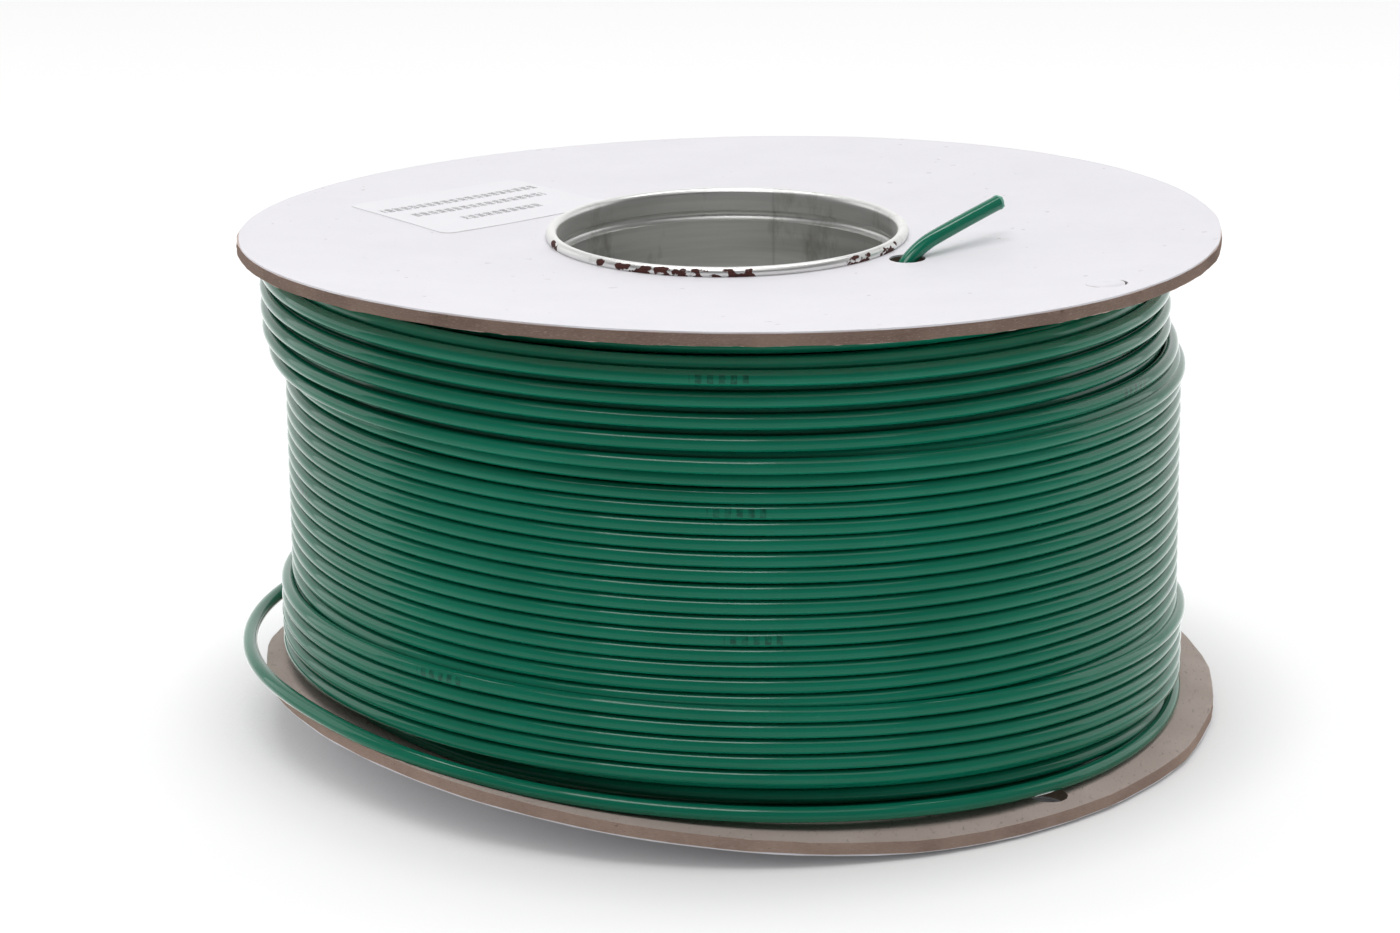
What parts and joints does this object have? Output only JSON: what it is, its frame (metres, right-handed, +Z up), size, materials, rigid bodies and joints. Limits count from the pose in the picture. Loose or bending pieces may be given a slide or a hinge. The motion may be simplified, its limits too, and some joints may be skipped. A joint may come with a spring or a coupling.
{
  "type": "wire spool",
  "caption": "Full spool of green insulated wire: two dished board discs with white facings clamped on a rolled metal core, with a short start tail and a loose outer turn.",
  "frame": {"origin": "on the core's axis, in the plane the lower flange's rim rests on", "axes": "+Z up along the core's axis, +X to the right and +Y to the back as seen from the side where the start tail points right"},
  "size_m": [0.2222, 0.22, 0.1199],
  "materials": {
    "tinplate": "bright tinplate, satin on the wall, glossy on the curls, with rust specks",
    "grey_board": "matt recycled grey-brown board with fibres",
    "white_facing": "matt white paper facing",
    "label_paper": "matt white sticker with illegible grey marks",
    "wire_sheath": "satin green polyethylene",
    "conductor": "tinned copper-clad aluminium, cut end"
  },
  "bodies": {
    "root": {"core_sleeve": "tinplate", "top_flange_board": "grey_board", "top_flange_liner": "white_facing", "bottom_flange_board": "grey_board", "bottom_flange_liner": "white_facing", "tie_hole_slug": "grey_board", "label_sticker": "label_paper", "wire_inner_layers": "wire_sheath", "wire_last_layer": "wire_sheath", "wire_raised_turns_bottom": "wire_sheath", "wire_raised_turns_top": "wire_sheath", "start_tail_insulation": "wire_sheath", "start_tail_conductor": "conductor", "outer_end_insulation": "wire_sheath", "outer_end_conductor": "conductor"}
  },
  "joints": []
}
